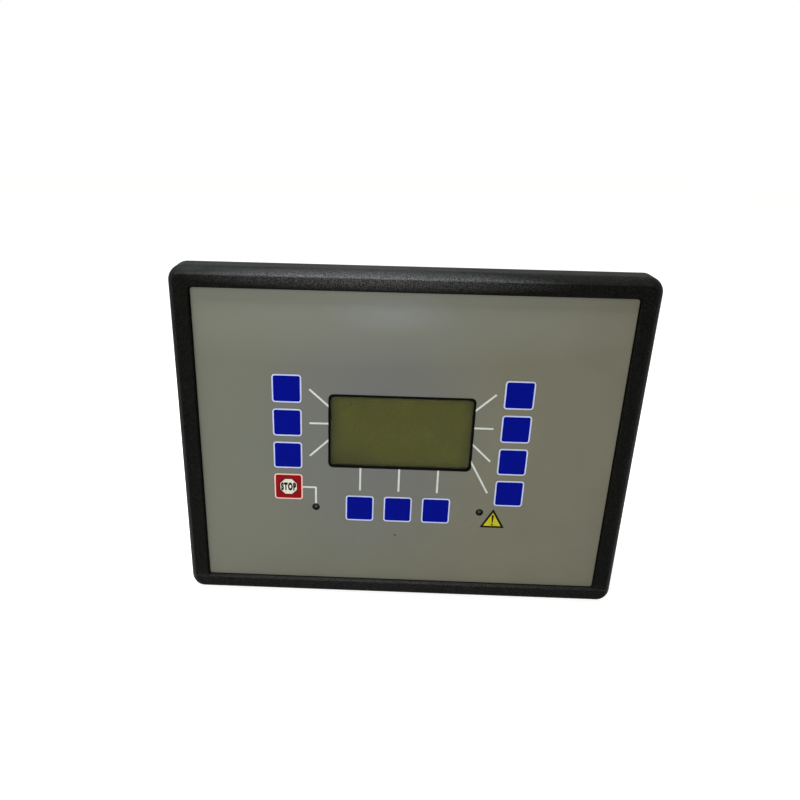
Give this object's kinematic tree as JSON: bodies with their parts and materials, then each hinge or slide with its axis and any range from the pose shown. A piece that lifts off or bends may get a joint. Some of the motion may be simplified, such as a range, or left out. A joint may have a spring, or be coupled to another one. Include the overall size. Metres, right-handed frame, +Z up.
{
  "type": "genset controller",
  "caption": "Panel-mounted genset controller: moulded bezel, recessed keypad overlay with a display window, push keys and lamps, and a rear housing with plug-in terminals.",
  "frame": {"origin": "middle of the panel cut-out, on the panel's front plane, which the flange's rear face lies on", "axes": "+X to the right seen from the front, +Y into the cabinet, +Z up"},
  "size_m": [0.282, 0.099, 0.217],
  "materials": {
    "frame_plastic": "fine-grained black moulding",
    "overlay_film": "satin warm grey film",
    "window_pane": "clear pane with a printed dark border",
    "key_film": "satin blue film with a pale border",
    "stop_key_film": "satin red film with a pale border",
    "lamp_lens": "smoked lens",
    "display_metal": "black pressed sheet",
    "display_cell": "olive display, off",
    "light_guide": "milky light guide",
    "circuit_board": "green solder mask",
    "switch_plastic": "black component plastic",
    "screw_steel": "zinc plated",
    "housing_plastic": "fine-grained black moulding",
    "seal_rubber": "soft seal",
    "insert_brass": "knurled, plain bore",
    "relay_plastic": "moulded cap",
    "transformer_core": "laminated core",
    "capacitor_sleeve": "shrink sleeve",
    "choke_wire": "varnished copper winding",
    "chip_resin": "moulded resin",
    "ribbon_plastic": "grey flat cable",
    "port_plastic": "dark socket",
    "terminal_plastic": "green moulding"
  },
  "bodies": {
    "housing": {"front_frame": "frame_plastic", "front_overlay": "overlay_film", "display_window": "window_pane", "stop_lamp": "lamp_lens", "alarm_lamp": "lamp_lens", "display_frame": "display_metal", "display_cell": "display_cell", "display_back_light": "light_guide", "display_board": "circuit_board", "display_screws": "screw_steel", "front_board": "circuit_board", "key_switches": "switch_plastic", "front_board_screws": "screw_steel", "mounting_flange": "housing_plastic", "panel_seal": "seal_rubber", "threaded_inserts": "insert_brass", "frame_screws": "screw_steel", "housing_body": "housing_plastic", "rear_cover": "housing_plastic", "rear_hood": "housing_plastic", "cover_screws": "screw_steel", "main_board": "circuit_board", "main_board_screws": "screw_steel", "output_relays": "relay_plastic", "measuring_transformers": "transformer_core", "buffer_capacitors": "capacitor_sleeve", "supply_choke": "choke_wire", "processor_chip": "chip_resin", "ribbon_cable": "ribbon_plastic", "front_ribbon_socket": "switch_plastic", "main_ribbon_socket": "switch_plastic", "service_port": "port_plastic", "measuring_1_header": "terminal_plastic", "measuring_1_plug": "terminal_plastic", "measuring_2_header": "terminal_plastic", "measuring_2_plug": "terminal_plastic", "measuring_3_header": "terminal_plastic", "measuring_3_plug": "terminal_plastic", "signal_1_header": "terminal_plastic", "signal_1_plug": "terminal_plastic", "signal_2_header": "terminal_plastic", "signal_2_plug": "terminal_plastic", "signal_3_header": "terminal_plastic", "signal_3_plug": "terminal_plastic", "signal_4_header": "terminal_plastic", "signal_4_plug": "terminal_plastic", "terminal_screws": "screw_steel"},
    "left_key_1": {"left_key_1": "key_film"},
    "left_key_2": {"left_key_2": "key_film"},
    "left_key_3": {"left_key_3": "key_film"},
    "stop_key": {"stop_key": "stop_key_film"},
    "right_key_1": {"right_key_1": "key_film"},
    "right_key_2": {"right_key_2": "key_film"},
    "right_key_3": {"right_key_3": "key_film"},
    "right_key_4": {"right_key_4": "key_film"},
    "bottom_key_1": {"bottom_key_1": "key_film"},
    "bottom_key_2": {"bottom_key_2": "key_film"},
    "bottom_key_3": {"bottom_key_3": "key_film"}
  },
  "joints": [
    {"name": "left_key_1_press", "type": "slide", "parent": "housing", "child": "left_key_1", "axis": [0, 1, 0], "range_m": [0, 0.0005], "stiffness_N_per_m": 4000},
    {"name": "left_key_2_press", "type": "slide", "parent": "housing", "child": "left_key_2", "axis": [0, 1, 0], "range_m": [0, 0.0005], "stiffness_N_per_m": 4000},
    {"name": "left_key_3_press", "type": "slide", "parent": "housing", "child": "left_key_3", "axis": [0, 1, 0], "range_m": [0, 0.0005], "stiffness_N_per_m": 4000},
    {"name": "stop_key_press", "type": "slide", "parent": "housing", "child": "stop_key", "axis": [0, 1, 0], "range_m": [0, 0.0005], "stiffness_N_per_m": 4000},
    {"name": "right_key_1_press", "type": "slide", "parent": "housing", "child": "right_key_1", "axis": [0, 1, 0], "range_m": [0, 0.0005], "stiffness_N_per_m": 4000},
    {"name": "right_key_2_press", "type": "slide", "parent": "housing", "child": "right_key_2", "axis": [0, 1, 0], "range_m": [0, 0.0005], "stiffness_N_per_m": 4000},
    {"name": "right_key_3_press", "type": "slide", "parent": "housing", "child": "right_key_3", "axis": [0, 1, 0], "range_m": [0, 0.0005], "stiffness_N_per_m": 4000},
    {"name": "right_key_4_press", "type": "slide", "parent": "housing", "child": "right_key_4", "axis": [0, 1, 0], "range_m": [0, 0.0005], "stiffness_N_per_m": 4000},
    {"name": "bottom_key_1_press", "type": "slide", "parent": "housing", "child": "bottom_key_1", "axis": [0, 1, 0], "range_m": [0, 0.0005], "stiffness_N_per_m": 4000},
    {"name": "bottom_key_2_press", "type": "slide", "parent": "housing", "child": "bottom_key_2", "axis": [0, 1, 0], "range_m": [0, 0.0005], "stiffness_N_per_m": 4000},
    {"name": "bottom_key_3_press", "type": "slide", "parent": "housing", "child": "bottom_key_3", "axis": [0, 1, 0], "range_m": [0, 0.0005], "stiffness_N_per_m": 4000}
  ]
}
